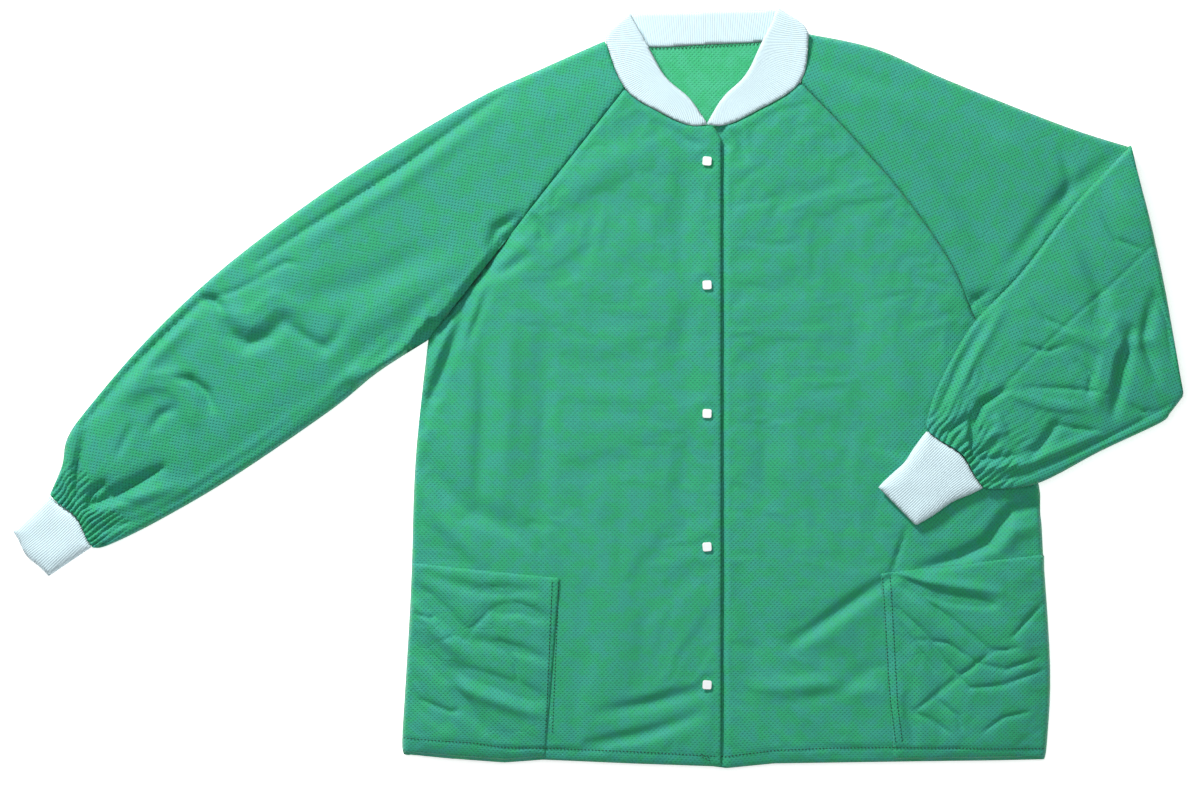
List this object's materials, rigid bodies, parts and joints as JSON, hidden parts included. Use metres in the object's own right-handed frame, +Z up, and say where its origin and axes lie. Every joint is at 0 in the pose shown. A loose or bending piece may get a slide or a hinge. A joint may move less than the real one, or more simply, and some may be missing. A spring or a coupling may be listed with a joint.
{
  "type": "snap-front warm-up jacket",
  "caption": "Hip-length nonwoven warm-up jacket with raglan sleeves, knit neck band and cuffs, patch pockets and a snapped front, laid flat with one sleeve folded over.",
  "frame": {"origin": "middle of the base of the jacket's box, on the surface it lies on", "axes": "+X towards the wearer's left, +Y from the hem to the neck, +Z up from the surface that the jacket lies on"},
  "size_m": [1.242, 0.802, 0.0286],
  "materials": {
    "green_cloth": "matte",
    "white_knit": "matte",
    "snap_plastic": "satin"
  },
  "bodies": {
    "root": {"back_panel": "green_cloth", "right_front_side": "green_cloth", "left_front_side": "green_cloth", "right_pocket": "green_cloth", "left_pocket": "green_cloth", "collar_back": "white_knit", "collar_right_side": "white_knit", "collar_left_side": "white_knit", "right_sleeve_upper": "green_cloth", "left_sleeve_upper": "green_cloth"},
    "right_front": {"right_front_flap": "green_cloth", "collar_right_front": "white_knit", "snap_cap_1": "snap_plastic", "snap_cap_2": "snap_plastic", "snap_cap_3": "snap_plastic", "snap_cap_4": "snap_plastic", "snap_cap_5": "snap_plastic", "snap_socket_1": "snap_plastic", "snap_socket_2": "snap_plastic", "snap_socket_3": "snap_plastic", "snap_socket_4": "snap_plastic", "snap_socket_5": "snap_plastic"},
    "left_front": {"left_front_flap": "green_cloth", "collar_left_front": "white_knit", "snap_stud_1": "snap_plastic", "snap_stud_2": "snap_plastic", "snap_stud_3": "snap_plastic", "snap_stud_4": "snap_plastic", "snap_stud_5": "snap_plastic", "snap_post_1": "snap_plastic", "snap_post_2": "snap_plastic", "snap_post_3": "snap_plastic", "snap_post_4": "snap_plastic", "snap_post_5": "snap_plastic"},
    "right_forearm": {"right_sleeve_lower": "green_cloth", "right_cuff": "white_knit"},
    "left_forearm": {"left_sleeve_lower": "green_cloth", "left_cuff": "white_knit"}
  },
  "joints": [
    {"name": "right_front_open", "type": "hinge", "parent": "root", "child": "right_front", "pos_m": [0.05106, -0.401, 0.0149], "axis": [0, -1, 0], "range_deg": [0, 150]},
    {"name": "left_front_open", "type": "hinge", "parent": "root", "child": "left_front", "pos_m": [0.18306, -0.401, 0.0149], "axis": [0, 1, 0], "range_deg": [0, 92]},
    {"name": "right_forearm_fold", "type": "hinge", "parent": "root", "child": "right_forearm", "pos_m": [-0.36931, 0.0573, 0.0143], "axis": [-0.6004, 0.7997, 0], "range_deg": [0, 180]},
    {"name": "left_forearm_unfold", "type": "hinge", "parent": "root", "child": "left_forearm", "pos_m": [0.56557, 0.25409, 0.0143], "axis": [-0.2062, 0.9785, 0], "range_deg": [0, 180]}
  ],
  "couplings": [
    {"joint": "left_front_open", "follows": "right_front_open", "ratio": 0.6}
  ]
}
